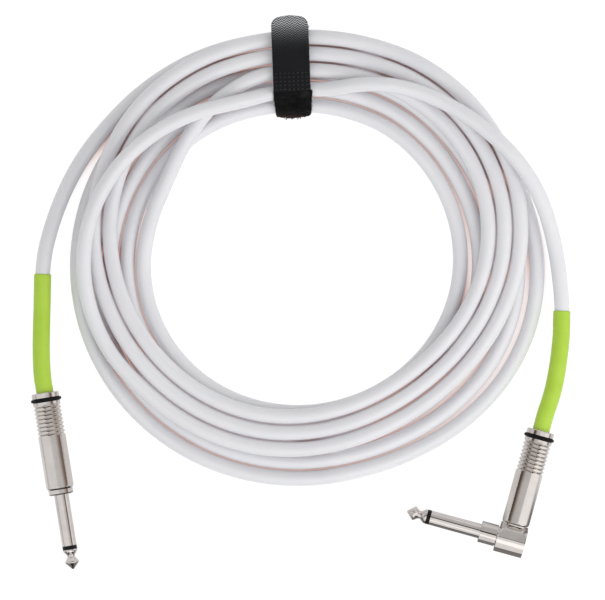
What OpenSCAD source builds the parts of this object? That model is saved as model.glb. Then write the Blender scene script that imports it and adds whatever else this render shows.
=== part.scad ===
// Instrument cable lying coiled: a straight jack plug, an angled jack plug,
// and a wrap strap round the bundle. Z is up, the coil rests on z = 0,
// Y runs from the straight plug's tip to the strap. All sizes in mm.

/* [Cable] */
// Diameter of the cable's jacket
wire_d = 6.5; // [5:0.1:8]
// Distance from one pass to the next in the same layer
pass_pitch = 7.2; // [6.9:0.1:9]
// Rise from one layer of passes to the next
layer_rise = 7.1; // [6.9:0.1:9]
// Whole loops in the lower layer
low_loops = 4; // [1:1:10]
// Whole loops in the upper layer
high_loops = 2; // [1:1:8]

/* [Heat-shrink sleeves] */
// Wall of the shrunk sleeve
sleeve_wall = 0.43; // [0.3:0.01:0.8]
// Clearance between the sleeve and the jacket
sleeve_gap = 0.07; // [0.05:0.01:0.2]

/* [Jack shaft] */
// Radius of the shaft, a quarter-inch plug
shaft_r = 3.175; // [3.1:0.005:3.2]
// Length of the sleeve contact in front of the shoulder
contact_len = 22.5; // [20:0.1:24]
// Width of the black insulator ring
ring_len = 1.7; // [1:0.1:2.5]
// Length of the shaft from the shoulder to the point
shaft_len = 32.8; // [31:0.1:34]
// Radius of the rod that carries the tip
rod_r = 1.2; // [1:0.05:1.5]
// Radius of the sleeve contact where the plug body holds it
stem_r = 3; // [2.7:0.05:3.1]

/* [Barrel] */
// Width over two opposite flats of the eight-sided barrel
barrel_flats = 11.2; // [10.5:0.1:12.5]
// Length of the barrel
barrel_len = 42.2; // [40:0.1:50]
// Radius of the round collar at the cable end
collar_r = 6; // [5.6:0.1:6.6]
// Number of grip grooves
groove_count = 8; // [3:1:10]
// Distance from groove to groove
groove_pitch = 1.74; // [1.4:0.01:2.4]
// Depth of a groove below the barrel's corners
groove_depth = 0.75; // [0.3:0.05:1]
// Thickness of the O-ring
o_ring_d = 1.5; // [1:0.1:2]
// Radius of the bore that takes the plug body's spigot
bore_r = 4.6; // [4.3:0.05:4.8]
// Radius of the outlet for the cable
outlet_r = 4; // [3.9:0.05:4.3]
// Clearance between the spigot and the bore
thread_gap = 0.05; // [0.02:0.01:0.1]
// Gap left between the barrel and its seat
seat_gap = 0.25; // [0.05:0.01:0.3]

/* [Angled head] */
// Radius over the corners of the eight-sided head
head_r = 6.6; // [6:0.1:7.5]
// Half length of the head along the shaft
head_half = 6.2; // [5.5:0.1:7]
// Radius over the corners of the narrower collar
neck_r = 4.7; // [4.4:0.1:5.5]
// Distance from the barrel's axis to the shaft's shoulder
shoulder_s = 13.9; // [12:0.1:16]

/* [Strap] */
// Width of the strap
strap_w = 16; // [12:0.5:25]
// Thickness of the loop-pile band
band_t = 1; // [0.8:0.1:1.5]
// Room between the band and the cable
band_gap = 0.55; // [0.35:0.05:0.8]
// Thickness of the woven tail
tail_t = 1; // [0.6:0.1:1.5]
// Thickness of the hook patch under the tail
hook_t = 0.8; // [0.5:0.1:1.2]

/* [Hidden] */
wire_r = wire_d / 2;
axis_z = 6.7;                                // height of both plugs' axes
tube_sides = 10;
coil_sides = 6;
coil_steps = 24;                             // rings in one loop

// Place of each plug: a point on its axis and its direction seen from above.
straight_at = [-104.2, -87.9];                 // the shoulder
straight_turn = -80.9;                       // tip points here
angle_at = [91.4, -107.6];                   // where its two axes cross
angle_turn = 164.6;                          // tip points here
facet_turn = 7.5;                            // how the barrels' flats are turned

// Coil: passes spiral in on the floor, climb, and spiral out on top.
coil_at = [2.3, 13.2];
start_angle = 315;
back_angle = 285;
end_angle = 225;
low_ring = [65.2, [0.4, -3.8], [-1.4, 0.5], [0.1, 0.1]];
high_ring = [74.2, [11.9, -2], [-1.7, 1], [-1.1, -0.6]];
spread_at = [108, 60, 0.2];                  // angle, half width, extra pitch
strap_angle = -4;
gather = 1.5;                                // the strap draws the bundle in
lift = band_t + band_gap;                    // the band passes under the coil
low_turns = low_loops + (back_angle - start_angle + 360) / 360;
high_turns = high_loops + (end_angle - back_angle + 360) / 360;
turns = low_turns + high_turns;

// Plug stations along the shaft, 0 at the shoulder, positive to the tip.
flange_len = 2.4;
spigot_end = -9;
lug_t = 0.5;
washer_t = 1.2;
barrel_front = -flange_len - seat_gap;
barrel_rear = barrel_front - barrel_len;
collar_len = 2.3;
ring_slot = o_ring_d + 0.1;
land_len = 1.3;
ring_at = barrel_rear + collar_len + ring_slot / 2;
grip_end = barrel_rear + collar_len + ring_slot + land_len;
ring_centre_r = axis_z - o_ring_d / 2;
liner_rear = -36.5;
bore_end = -37;
jacket_end = -22;
shrink_end = -33;
barrel_corner_r = barrel_flats / 2 / cos(22.5);
spigot_r = bore_r - thread_gap;
liner_r = 4.5;
liner_in = 3.95;
tube_in = 1.25;
tube_out = 1.95;
contact_in = 2;
flange_r = 5;                                // over its flats
flange_face_r = 4.3;
straight_tab = 6.8;                          // tip lugs, ring to tail
angle_tab = 4.8;
core_start = jacket_end + 0.12;
head_origin = 4.4;                           // angled barrel's zero, from the crossing

// Strap stations in its own frame, Y across the bundle.
strap_at = [-3.8, 95.8];
strap_lean = 2.1;
band_low_in = -14.4;
band_low_out = 15;
band_high_in = -8.4;
band_high_out = 15.2;
band_low_z = wire_r + lift;
band_high_z = band_low_z + layer_rise;
band_top = band_high_z + wire_r + lift;
tail_root = -8.6;
tail_hinge = 0.8;
tail_end = 24.4;
tail_corner = 3.9;
tail_bow = 0.5;                              // its middle ahead of its corners
tail_line = [[0.8, 0.8], [4.6, 1.6], [16, 1.6], [20.4, 1], [24.4, 0]];
hook_line = [[6, 1.6], [16, 1.6], [20.4, 1], [22.6, 0.45]];

// Hand-laid routes, round figures. Over the coil: angle, radius, height.
angle_over = [
  [242, 92.7, 10.5], [250, 94.6, 11.4], [258, 95.9, 13.1], [266, 96.5, 15.2],
  [274, 96.3, 17], [282, 95.3, 17.8], [290, 93.5, 17.9], [298, 91, 17.8],
  [306, 87.9, 17.8], [314, 84.5, 17.9], [322, 81, 18.4], [329, 78, 18.6],
  [335, 75.9, 17.6],
  [341, 74.8, 14.8], [347, 74.8, 12.2], [354, 74.9, 12], [1, 75, 12.1],
  [6, 75.4, 13.2], [11, 77, 15.8], [17, 80.4, 18.4], [25, 84.6, 18.8],
  [34, 88.6, 18.1], [43, 92.2, 17.7], [52, 96, 17.7], [61, 100, 17.6],
  [69, 103.4, 14.8], [77, 106, 11], [86, 108.2, 8.2], [94, 110.6, 7]
];
straight_over = [[300, 105.8, 3.3], [291, 108.2, 3.8], [282, 110.6, 4.8], [273, 113.4, 6]];
// From there into the plug, along its sleeve: x, y at the height of its axis.
angle_sleeve = [[113.6, -8], [113.2, -20], [111.8, -32], [109.6, -43]];
straight_sleeve = [[-112.3, 8], [-112.5, -4], [-112.8, -15], [-112.9, -26]];

white_pvc = [0.93, 0.92, 0.92];
lime = [0.68, 0.82, 0.24];
nickel = [0.78, 0.76, 0.75];
brass = [0.8, 0.66, 0.35];
black = [0.06, 0.06, 0.07];
amber = [0.75, 0.55, 0.3];
copper = [0.75, 0.45, 0.3];

// ---- curves -------------------------------------------------------------

function ease(x) = let (c = min(1, max(0, x))) c * c * (3 - 2 * c);
function away(t, at) = abs((t - at + 540) % 360 - 180);
function shape_r(h, t) = h[0]
  + h[1][0] * cos(t) + h[1][1] * sin(t)
  + h[2][0] * cos(2 * t) + h[2][1] * sin(2 * t)
  + h[3][0] * cos(3 * t) + h[3][1] * sin(3 * t);
function spread(t) = 1 + spread_at[2] * (1 - ease(away(t, spread_at[0]) / spread_at[1]));
function drawn_in(t) = gather * (1 - ease((away(t, strap_angle) - 6) / 36));
function raised(t) = lift * (1 - ease((away(t, strap_angle) - 12) / 40));
function place(t, r, z) = [coil_at[0] + r * sin(t), coil_at[1] + r * cos(t), z];

// Point of the coil after phi degrees.
function coil_point(phi) =
  let (t = start_angle + phi)
  let (dt = phi / 360 - low_turns)
  let (climb = ease((dt * 360 + 30) / 60))
  let (over = ease((dt * 360 - 5) / 62))
  let (low = shape_r(low_ring, t) + pass_pitch * spread(t) * abs(dt))
  let (high = shape_r(high_ring, t) + pass_pitch * abs(dt))
  place(
    t,
    (1 - over) * low + over * high - drawn_in(t),
    wire_r + raised(t) + climb * layer_rise
  );

function unit(v) = v / norm(v);
function heading(p, i) =
  i == 0 ? unit(p[1] - p[0])
  : i == len(p) - 1 ? unit(p[i] - p[i - 1])
  : unit(unit(p[i + 1] - p[i]) + unit(p[i] - p[i - 1]));

coil_arc = [for (phi = [0 : 360 / coil_steps : turns * 360]) coil_point(phi)];
coil_last = len(coil_arc) - 1;
coil_in = unit(coil_arc[0] - coil_point(2));
coil_out = unit(coil_arc[coil_last] - coil_point(turns * 360 - 9));
coil_start = coil_arc[0] + wire_d * coil_in;
coil_end = coil_arc[coil_last] + wire_d * coil_out;
coil_path = concat([coil_start], coil_arc, [coil_end]);

function turned(v, a) = [v[0] * cos(a) - v[1] * sin(a), v[0] * sin(a) + v[1] * cos(a)];
function up(p, z) = [p[0], p[1], z];
// A point u along the straight plug's axis, or along the angled barrel's.
function on_straight(u) = up(straight_at + turned([u, 0], straight_turn), axis_z);
function on_angle(u) = up(angle_at + turned([0, u - head_origin], angle_turn), axis_z);

straight_bend = [for (p = straight_sleeve) up(p, axis_z)];
angle_bend = [for (p = angle_sleeve) up(p, axis_z)];
straight_path = concat(
  [coil_start, coil_start + wire_d * coil_in],
  [for (p = straight_over) place(p[0], p[1], p[2])],
  straight_bend,
  [on_straight(barrel_rear - 7), on_straight(jacket_end)]
);
angle_path = concat(
  [coil_end, coil_end + wire_d * coil_out],
  [for (p = angle_over) place(p[0], p[1], p[2])],
  angle_bend,
  [on_angle(barrel_rear - 7), on_angle(jacket_end)]
);
straight_shrink = concat(
  straight_bend, [on_straight(barrel_rear - 7), on_straight(shrink_end)]
);
angle_shrink = concat(
  angle_bend, [on_angle(barrel_rear - 7), on_angle(shrink_end)]
);

// One ring of a tube, square to its heading.
function tube_ring(c, d, r, sides) =
  let (side = unit(cross([0, 0, 1], d)))
  let (top = cross(d, side))
  [for (k = [0 : sides - 1]) c
    + r * cos(k * 360 / sides) * side
    + r * sin(k * 360 / sides) * top];

function skin(n, sides, from, flip) = [
  for (i = [0 : n - 2], k = [0 : sides - 1], half = [0, 1])
    let (a = from + i * sides + k)
    let (b = from + i * sides + (k + 1) % sides)
    let (c = a + sides)
    let (d = b + sides)
    let (tri = half == 0 ? [a, b, c] : [b, d, c])
    flip ? [tri[2], tri[1], tri[0]] : tri
];

// Solid tube along a route.
module solid_tube(path, r, sides) {
  n = len(path);
  points = [for (i = [0 : n - 1]) each tube_ring(path[i], heading(path, i), r, sides)];
  cap_a = [for (k = [0 : sides - 1]) k];
  cap_b = [for (k = [sides - 1 : -1 : 0]) (n - 1) * sides + k];
  polyhedron(points, concat([cap_a], skin(n, sides, 0, true), [cap_b]));
}

// Hollow tube along a route.
module hollow_tube(path, r_in, r_out, sides) {
  n = len(path);
  outer = [for (i = [0 : n - 1]) each tube_ring(path[i], heading(path, i), r_out, sides)];
  inner = [for (i = [0 : n - 1]) each tube_ring(path[i], heading(path, i), r_in, sides)];
  m = n * sides;
  last = (n - 1) * sides;
  ends = [
    for (k = [0 : sides - 1])
      let (q = (k + 1) % sides)
      each [[k, q, m + k], [q, m + q, m + k],
        [last + q, last + k, m + last + k], [m + last + q, last + q, m + last + k]]
  ];
  polyhedron(
    concat(outer, inner),
    concat(skin(n, sides, 0, true), skin(n, sides, m, false), ends)
  );
}

// Least gap between passes of the coil, measured on the tube's own rings.
function dense(p, m) = [
  for (i = [0 : len(p) - 2], k = [0 : m - 1]) p[i] + (p[i + 1] - p[i]) * k / m
];
gap_points = dense(coil_path, 3);
gap_skip = 3 * 12;
least_gap = min([
  for (i = [0 : len(gap_points) - 1 - gap_skip])
    let (a = gap_points[i])
    min([for (j = [i + gap_skip : len(gap_points) - 1]) norm(a - gap_points[j])])
]) - wire_d;
function step_on(p, i) = i == 0 ? 0 : step_on(p, i - 1) + norm(p[i] - p[i - 1]);
function run(p) = step_on(p, len(p) - 1);
echo(coil_least_gap = least_gap, coil_length = run(coil_path));
echo(straight_lead = run(straight_path), angle_lead = run(angle_path));

// ---- frames -------------------------------------------------------------

// Straight plug: X to the tip, zero at the shoulder.
module straight_frame() {
  translate([straight_at[0], straight_at[1], axis_z])
    rotate([0, 0, straight_turn])
      children();
}

// Angled head: X to the tip, zero where the axes cross, barrel towards -Y.
module angle_frame() {
  translate([angle_at[0], angle_at[1], axis_z])
    rotate([0, 0, angle_turn])
      children();
}

// Angled shaft: X to the tip, zero at the shoulder.
module angle_shaft_frame() {
  angle_frame() translate([shoulder_s, 0, 0]) children();
}

// Angled barrel: X to the head, stations as on the straight plug.
module angle_barrel_frame() {
  angle_frame() rotate([0, 0, 90]) translate([-head_origin, 0, 0]) children();
}

module strap_frame() {
  translate([strap_at[0], strap_at[1], 0]) rotate([0, 0, strap_lean]) children();
}

// ---- shapes along X -------------------------------------------------------

// Turned solid from points [radius, station].
module turned_solid(profile) {
  rotate([0, 90, 0]) rotate_extrude($fn = 48) polygon(profile);
}

module rod(r, from, to) {
  translate([from, 0, 0]) rotate([0, 90, 0]) cylinder(r = r, h = to - from, $fn = 48);
}

module eight_sided(corner_r, from, to, turn) {
  translate([from, 0, 0])
    rotate([0, 90, 0])
      rotate([0, 0, turn])
        cylinder(r = corner_r, h = to - from, $fn = 8);
}

module sleeve(r_in, r_out, from, to) {
  difference() {
    rod(r_out, from, to);
    rod(r_in, from - 1, to + 1);
  }
}

// ---- jack plug pieces, in a shaft frame ----------------------------------

module jack_contact(rear) {
  color(nickel)
    difference() {
      union() {
        rod(shaft_r, 0, contact_len);
        rod(stem_r, rear, 0.5);
      }
      rod(contact_in, rear - 1, contact_len + 1);
    }
}

module jack_insulator(rear) {
  color(black)
    difference() {
      union() {
        rod(shaft_r, contact_len, contact_len + ring_len);
        rod(tube_out, rear - lug_t, contact_len + 0.5);
      }
      rod(tube_in, rear - lug_t - 1, contact_len + ring_len + 1);
    }
}

module jack_tip(rear) {
  base = contact_len + ring_len;
  head = rear - lug_t - washer_t - lug_t;
  color(nickel)
    turned_solid([
      [0, head - 0.7], [1.5, head - 0.7], [1.9, head - 0.3], [1.9, head],
      [rod_r, head], [rod_r, base], [3.1, base], [3.15, base + 0.2],
      [3.15, base + 0.6], [2.9, base + 1.1], [2.1, base + 2.1],
      [1.75, base + 2.5], [1.7, base + 3.1], [1.9, base + 3.6],
      [2.9, base + 5], [3.05, base + 5.3], [3.08, base + 5.6],
      [2.95, base + 5.9], [1.7, base + 7.2], [0.75, shaft_len - 0.4],
      [0.4, shaft_len], [0, shaft_len]
    ]);
}

module jack_washer(rear) {
  color(amber) sleeve(tube_in, 2.85, rear - lug_t - washer_t, rear - lug_t);
}

module jack_tip_lug(rear, tab) {
  back = rear - lug_t - washer_t;
  color(brass) {
    sleeve(tube_in, 2.7, back - lug_t, back);
    translate([back - tab, -1.2, 2]) cube([tab, 2.4, 0.4]);
  }
}

// Strip and cable clamp, in the frame of the barrel.
lug_half = 1.15;
module clamp_strip(from) {
  translate([jacket_end + 1.5, -lug_half, -3.35])
    cube([from - jacket_end - 1.5, 2 * lug_half, 0.4]);
  translate([jacket_end - 9, -lug_half, -3.75])
    cube([11, 2 * lug_half, 0.45]);
  intersection() {
    sleeve(3.35, 3.75, jacket_end - 9, jacket_end - 5);
    translate([jacket_end - 10, -5, -5]) cube([6, 10, 7.5]);
  }
}

module ground_ring(rear) {
  sleeve(contact_in, 3.5, rear - lug_t, rear);
}

module screen_tail() {
  color(copper) translate([0, 0, -2.1]) rod(0.8, core_start, jacket_end + 9);
}

module liner() {
  color(amber) sleeve(liner_in, liner_r, liner_rear, spigot_end - 0.7);
}

module o_ring() {
  color(black)
    rotate([0, 90, 0])
      translate([0, 0, ring_at])
        rotate_extrude($fn = 48)
          translate([ring_centre_r, 0])
            circle(d = o_ring_d, $fn = 24);
}

// The screw-on barrel, its collar to the cable, flats turned by turn.
module barrel(turn) {
  slot_r = ring_centre_r - o_ring_d / 2 - 0.05;
  slot_a = barrel_rear + collar_len;
  slot_b = slot_a + ring_slot;
  color(nickel)
    difference() {
      union() {
        turned_solid([
          [0, barrel_rear], [collar_r - 0.4, barrel_rear],
          [collar_r, barrel_rear + 0.4], [collar_r, slot_a - 0.15],
          [collar_r - 0.15, slot_a], [slot_r, slot_a], [slot_r, slot_b],
          [collar_r - 0.15, slot_b], [collar_r, slot_b + 0.15],
          [collar_r, grip_end], [5, grip_end], [5, barrel_front - 1],
          [0, barrel_front - 1]
        ]);
        eight_sided(barrel_corner_r, grip_end, barrel_front, turn);
      }
      rod(outlet_r, barrel_rear - 1, bore_end + 1);
      rod(bore_r, bore_end, barrel_front + 1);
      for (i = [0 : groove_count - 1]) {
        grip_groove(grip_end + (i + 0.5) * groove_pitch);
      }
      turned_solid([
        [barrel_corner_r + 0.6, barrel_front - 2],
        [barrel_corner_r + 0.6, barrel_front + 1],
        [barrel_corner_r - 1.2, barrel_front + 1]
      ]);
    }
}

module grip_groove(at) {
  wide = 0.47 * groove_pitch;
  turned_solid([
    [barrel_corner_r - groove_depth, at],
    [barrel_corner_r + 0.3, at - wide * (1 + 0.3 / groove_depth)],
    [barrel_corner_r + 0.3, at + wide * (1 + 0.3 / groove_depth)]
  ]);
}

// ---- the nodes --------------------------------------------------------------

module cable_coil() { color(white_pvc) solid_tube(coil_path, wire_r, coil_sides); }
module cable_lead_straight() { color(white_pvc) solid_tube(straight_path, wire_r, tube_sides); }
module cable_lead_angle() { color(white_pvc) solid_tube(angle_path, wire_r, tube_sides); }

sleeve_in = wire_r + sleeve_gap;
module straight_heat_shrink() {
  color(lime) hollow_tube(straight_shrink, sleeve_in, sleeve_in + sleeve_wall, tube_sides);
}
module angle_heat_shrink() {
  color(lime) hollow_tube(angle_shrink, sleeve_in, sleeve_in + sleeve_wall, tube_sides);
}

module straight_plug_body() {
  color(nickel)
    straight_frame()
      difference() {
        union() {
          intersection() {
            eight_sided(flange_r / cos(22.5), -flange_len, 0, facet_turn);
            turned_solid([
              [0, -flange_len - 1], [7, -flange_len - 1], [7, -1.2],
              [flange_face_r, 0.15], [0, 0.15]
            ]);
          }
          rod(spigot_r, spigot_end, -flange_len + 0.5);
        }
        rod(stem_r + 0.02, spigot_end - 1, 1);
      }
}
module straight_sleeve_contact() { straight_frame() jack_contact(spigot_end); }
module straight_tip_contact() { straight_frame() jack_tip(spigot_end); }
module straight_insulator() { straight_frame() jack_insulator(spigot_end); }
module straight_rear_washer() { straight_frame() jack_washer(spigot_end); }
module straight_tip_lug() { straight_frame() jack_tip_lug(spigot_end, straight_tab); }
module straight_ground_lug() {
  color(brass)
    straight_frame()
      union() {
        ground_ring(spigot_end);
        clamp_strip(spigot_end);
      }
}
module straight_core_wire() {
  color([0.85, 0.2, 0.15])
    straight_frame()
      core_line([core_start, 0, 0], [spigot_end - 3.5, 0, 0.85]);
}
module straight_screen_tail() { straight_frame() screen_tail(); }
module straight_insulating_tube() { straight_frame() liner(); }
module straight_barrel() { straight_frame() barrel(facet_turn); }
module straight_o_ring() { straight_frame() o_ring(); }

// Insulated core, a round bar from one point to the other.
module core_line(from, to) {
  d = to - from;
  translate(from)
    rotate([0, 90 - atan2(d[2], norm([d[0], d[1]])), atan2(d[1], d[0])])
      cylinder(r = 1.1, h = norm(d), $fn = 24);
}

cavity_r = 4.6;
cavity_end = 5;
neck_bore = 3.6;
angle_rear = cavity_end - shoulder_s;
slope = tan(22.5);
slope_end = 6.5;
head_seat_r = 6;
shell_r = 5.6;                               // wall around the wiring chamber
module angle_elbow_head() {
  color(nickel)
    angle_frame()
      difference() {
        union() {
          intersection() {
            eight_sided(head_r, -head_half, head_half, 0);
            translate([-2 * head_half, 0, -2 * head_r])
              cube([4 * head_half, 2 * head_r, 4 * head_r]);
          }
          eight_sided(shell_r, -head_half, cavity_end + 0.3, 0);
          rod(neck_r - 0.5, 1, head_half + 1);
          eight_sided(neck_r, head_half + 0.45, shoulder_s, 0);
          hull() {
            sloped(head_r) knuckle(head_half - 0.35);
            sloped(head_r - 0.35) knuckle(head_half);
          }
          rotate([0, 0, 90])
            translate([-head_origin, 0, 0]) {
              rod(head_seat_r, -flange_len, -flange_len + 0.6);
              rod(spigot_r, spigot_end, -flange_len + 0.5);
            }
          sloped(head_r - 0.7)
            rotate([0, 0, 90]) rod(head_seat_r, -head_origin - flange_len, -0.5);
        }
        rod(cavity_r, -head_half - 1, cavity_end);
        rod(stem_r + 0.02, cavity_end - 1, shoulder_s + 1);
        rotate([0, 0, 90]) rod(neck_bore, spigot_end - head_origin - 1, 0);
      }
}

// Upright cylinder, the rounded end of the two flats towards the barrel.
module knuckle(r) { cylinder(r = r, h = 2 * head_r, center = true, $fn = 64); }

// Keeps what lies on the barrel's side, under the head's two sloping flats.
module sloped(top) {
  intersection() {
    children();
    rotate([0, 90, 0])
      linear_extrude(4 * head_half, center = true)
        polygon([
          [-top, 0], [-top + slope * slope_end, -slope_end],
          [top - slope * slope_end, -slope_end], [top, 0],
          [top - 1, 1], [-top + 1, 1]
        ]);
  }
}

module angle_head_plug() {
  color(nickel)
    angle_frame()
      turned_solid([
        [0, -head_half + 0.1], [cavity_r - 0.35, -head_half + 0.1],
        [cavity_r - 0.05, -head_half + 0.4], [cavity_r - 0.05, -head_half + 1.3],
        [0, -head_half + 1.3]
      ]);
}
module angle_sleeve_contact() { angle_shaft_frame() jack_contact(angle_rear); }
module angle_tip_contact() { angle_shaft_frame() jack_tip(angle_rear); }
module angle_insulator() { angle_shaft_frame() jack_insulator(angle_rear); }
module angle_rear_washer() { angle_shaft_frame() jack_washer(angle_rear); }
module angle_tip_lug() { angle_shaft_frame() jack_tip_lug(angle_rear, angle_tab); }
module angle_ground_lug() {
  color(brass)
    union() {
      angle_shaft_frame() ground_ring(angle_rear);
      angle_frame()
        translate([-lug_half, -lug_half, -3.35])
          cube([cavity_end + lug_half, 2 * lug_half, 0.4]);
      angle_barrel_frame() clamp_strip(head_origin);
    }
}
module angle_core_wire() {
  color([0.85, 0.2, 0.15])
    angle_barrel_frame()
      core_line([core_start, 0, 0], [head_origin + 1.2, 0, 0.85]);
}
module angle_screen_tail() { angle_barrel_frame() screen_tail(); }
module angle_insulating_tube() { angle_barrel_frame() liner(); }
module angle_barrel() { angle_barrel_frame() barrel(-facet_turn); }
module angle_o_ring() { angle_barrel_frame() o_ring(); }

// ---- strap --------------------------------------------------------------------

module band_outline(r) {
  hull() {
    for (p = [
      [band_low_in, band_low_z], [band_low_out, band_low_z],
      [band_high_out, band_high_z], [band_high_in, band_high_z]
    ]) translate(p) circle(r = r, $fn = 32);
  }
}

// Extrudes a Y-Z outline across the strap's width.
module across(w) {
  rotate([90, 0, 90]) linear_extrude(w, center = true) children();
}

// A tape of thickness t along a line of [y, height over the band].
module tape(line, over, under) {
  polygon(concat(
    [for (p = line) [p[0], band_top + p[1] + over]],
    [for (i = [len(line) - 1 : -1 : 0]) [line[i][0], band_top + line[i][1] - under]]
  ));
}

module strap_band() {
  color(black)
    strap_frame()
      across(strap_w)
        difference() {
          band_outline(wire_r + band_gap + band_t);
          band_outline(wire_r + band_gap);
        }
}
tail_shift = -0.8;
module strap_sewn_end() {
  line = [[tail_root, tail_t / 2], [tail_hinge - 0.2, tail_t / 2]];
  color(black)
    strap_frame()
      translate([tail_shift, 0, 0])
        across(strap_w)
          tape(line, tail_t / 2, tail_t / 2);
}
module strap_tail() {
  color(black)
    strap_frame()
      translate([tail_shift, 0, 0])
        intersection() {
          across(strap_w) tape(tail_line, tail_t / 2, tail_t / 2);
          linear_extrude(3 * band_top)
            rounded_end(strap_w, tail_hinge, tail_end, tail_corner);
        }
}
module strap_hook_patch() {
  color(black)
    strap_frame()
      translate([tail_shift, 0, 0])
        across(strap_w - 2)
          tape(hook_line, -tail_t / 2, tail_t / 2 + hook_t);
}

// Plan of a tape with one rounded end.
module rounded_end(w, from, to, r) {
  corner_to = to - tail_bow;
  hull() {
    translate([-w / 2, from]) square([w, corner_to - r - from]);
    for (side = [-1, 1])
      translate([side * (w / 2 - r), corner_to - r]) circle(r = r, $fn = 40);
    translate([0, to - w / 2]) scale([0.8, 1]) circle(r = w / 2, $fn = 64);
  }
}

cable_coil();
cable_lead_straight();
cable_lead_angle();
straight_heat_shrink();
angle_heat_shrink();
straight_plug_body();
straight_sleeve_contact();
straight_tip_contact();
straight_insulator();
straight_rear_washer();
straight_tip_lug();
straight_ground_lug();
straight_core_wire();
straight_screen_tail();
straight_insulating_tube();
straight_barrel();
straight_o_ring();
angle_elbow_head();
angle_head_plug();
angle_sleeve_contact();
angle_tip_contact();
angle_insulator();
angle_rear_washer();
angle_tip_lug();
angle_ground_lug();
angle_core_wire();
angle_screen_tail();
angle_insulating_tube();
angle_barrel();
angle_o_ring();
strap_band();
strap_sewn_end();
strap_tail();
strap_hook_patch();
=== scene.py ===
import bpy, math, random
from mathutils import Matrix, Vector, noise


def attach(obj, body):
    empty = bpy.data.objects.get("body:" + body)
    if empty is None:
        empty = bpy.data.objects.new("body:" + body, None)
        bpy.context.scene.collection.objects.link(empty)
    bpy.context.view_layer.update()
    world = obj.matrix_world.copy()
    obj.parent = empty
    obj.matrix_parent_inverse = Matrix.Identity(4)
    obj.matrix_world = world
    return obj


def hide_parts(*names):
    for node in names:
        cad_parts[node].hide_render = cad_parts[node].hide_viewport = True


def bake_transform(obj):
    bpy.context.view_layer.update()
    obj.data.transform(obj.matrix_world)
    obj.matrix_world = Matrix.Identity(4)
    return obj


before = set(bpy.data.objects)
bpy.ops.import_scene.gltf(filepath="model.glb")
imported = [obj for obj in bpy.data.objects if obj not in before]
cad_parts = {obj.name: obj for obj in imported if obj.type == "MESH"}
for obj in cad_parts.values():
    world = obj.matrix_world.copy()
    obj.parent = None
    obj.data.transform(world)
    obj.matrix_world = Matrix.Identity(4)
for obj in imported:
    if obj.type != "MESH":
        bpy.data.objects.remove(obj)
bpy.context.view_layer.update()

scene = bpy.context.scene
scene.view_settings.view_transform = "Standard"
MM = 0.001
UP = Vector((0, 0, 1))

# ---------------------------------------------------------------- camera
# It looks straight down. On a plane just over the floor the picture's 605 px are 2300 px a metre.
CAM_AT = (0.00074, -0.0033, 3.0)
SCALE_PLANE = 0.0085
PICTURE_WIDTH = 605 / 2300
SENSOR = 36

cam_data = bpy.data.cameras.new("photo_camera")
cam = bpy.data.objects.new("photo_camera", cam_data)
scene.collection.objects.link(cam)
cam.location = CAM_AT
cam.rotation_euler = (0, 0, 0)
cam_data.sensor_width = SENSOR
cam_data.lens = SENSOR * (CAM_AT[2] - SCALE_PLANE) / PICTURE_WIDTH
cam_data.clip_end = 20
scene.camera = cam

# ---------------------------------------------------------------- the route
# The cable's centre line in mm and degrees, as the part's source winds it. A place on the ring
# is (degrees clockwise from the top, radius from COIL_AT, height).
WIRE_R = 3.25
AXIS_Z = 6.7  # height of both plugs' axes
RISE = 7.1  # from the lower layer of passes to the upper one
PITCH = 7.2  # change of radius in a turn
COIL_AT = (2.3, 13.2)
START, BACK, END = 315, 285, 225  # where the winding starts, turns outward and ends
LOW_TURNS = 4 + (BACK - START + 360) / 360
TURNS = LOW_TURNS + 2 + (END - BACK + 360) / 360
# Mean radius at the turn outward, then cosine and sine parts of one, two and three waves a turn.
LOW_RING = (65.2, (0.4, -3.8), (-1.4, 0.5), (0.1, 0.1))
HIGH_RING = (74.2, (11.9, -2), (-1.7, 1), (-1.1, -0.6))
STRAIGHT_AT, STRAIGHT_TURN = (-104.2, -87.9), -80.9
ANGLE_AT, ANGLE_TURN = (91.4, -107.6), 164.6
BARREL_REAR = -44.85  # along a plug from its shoulder
HEAD_ORIGIN = 4.4
STEPS_A_TURN = 48
CLOSEST = 1.5  # points nearer together than this are left out
LINE_STEP = 3.2


def ease(x):
    """Smooth step from 0 to 1."""
    c = min(1, max(0, x))
    return c * c * (3 - 2 * c)


def away(t, at):
    """Degrees between two directions, 0 to 180."""
    return abs((t - at + 540) % 360 - 180)


def shape_r(h, t):
    a = math.radians(t)
    return h[0] + sum(h[n][0] * math.cos(n * a) + h[n][1] * math.sin(n * a) for n in (1, 2, 3))


def place(t, r, z):
    a = math.radians(t)
    return Vector((COIL_AT[0] + r * math.sin(a), COIL_AT[1] + r * math.cos(a), z))


def coil_point(phi):
    """Where the wound cable is, phi degrees after its start.

    It spirals in on the lower layer, climbs, and spirals out on the upper one. The strap at the
    top draws it in and lifts it, and the passes spread a little at the right.
    """
    t = START + phi
    dt = phi / 360 - LOW_TURNS
    climb = ease((dt * 360 + 30) / 60)
    over = ease((dt * 360 - 5) / 62)
    low = shape_r(LOW_RING, t) + PITCH * (1 + 0.2 * (1 - ease(away(t, 108) / 60))) * abs(dt)
    high = shape_r(HIGH_RING, t) + PITCH * abs(dt)
    drawn = 1.5 * (1 - ease((away(t, -4) - 6) / 36))
    raised = 1.55 * (1 - ease((away(t, -4) - 12) / 40))
    return place(t, (1 - over) * low + over * high - drawn, WIRE_R + raised + climb * RISE)


def turned(v, a):
    a = math.radians(a)
    return (v[0] * math.cos(a) - v[1] * math.sin(a), v[0] * math.sin(a) + v[1] * math.cos(a))


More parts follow.
